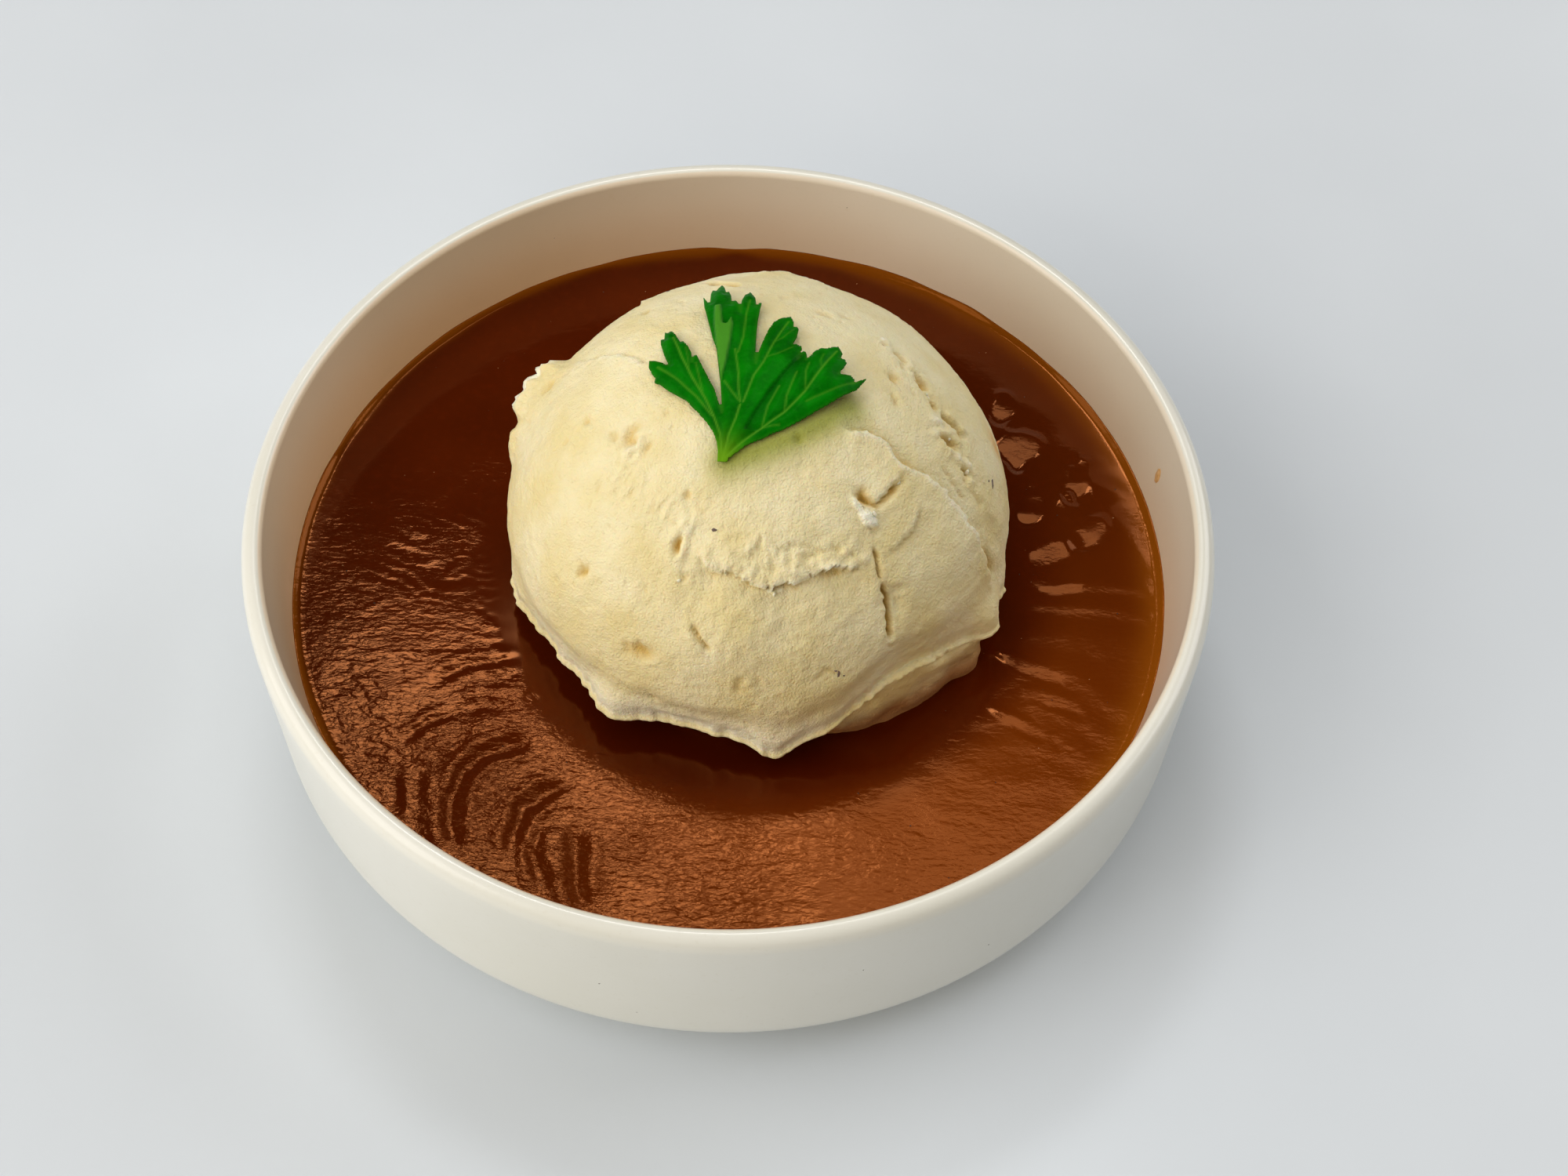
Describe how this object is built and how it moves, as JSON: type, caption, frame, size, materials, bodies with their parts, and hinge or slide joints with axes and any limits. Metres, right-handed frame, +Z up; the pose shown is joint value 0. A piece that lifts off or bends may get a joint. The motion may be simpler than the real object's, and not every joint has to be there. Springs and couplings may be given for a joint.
{
  "type": "side dish of mashed potato with gravy in a bowl",
  "caption": "Scoop of mashed potato standing in brown gravy in a shallow straight-sided bowl, topped with a parsley leaf.",
  "frame": {"origin": "on the bowl's axis, on the surface that the bowl stands on", "axes": "+Z up; -Y is the side that shows the raised skirt of the scoop and the foot of the leaf's stem; +X to the right of that side"},
  "size_m": [0.136, 0.136, 0.0657],
  "materials": {
    "bowl_glaze": "smooth cream-white glaze, glossy, with a few tiny dark iron specks",
    "gravy": "thick brown gravy, wet and glossy, with low swells and fine wrinkles, amber where it thins at the wall",
    "mashed_potato": "smooth moist mashed potato, pale cream yellow, soft and matt with small pits, tears and crumbly edges",
    "parsley_leaf": "fresh flat parsley leaf, deep green with fine pale veins and a slight waxy sheen"
  },
  "bodies": {
    "root": {"bowl": "bowl_glaze", "gravy": "gravy", "mashed_potato": "mashed_potato", "parsley_leaf": "parsley_leaf"}
  },
  "joints": []
}
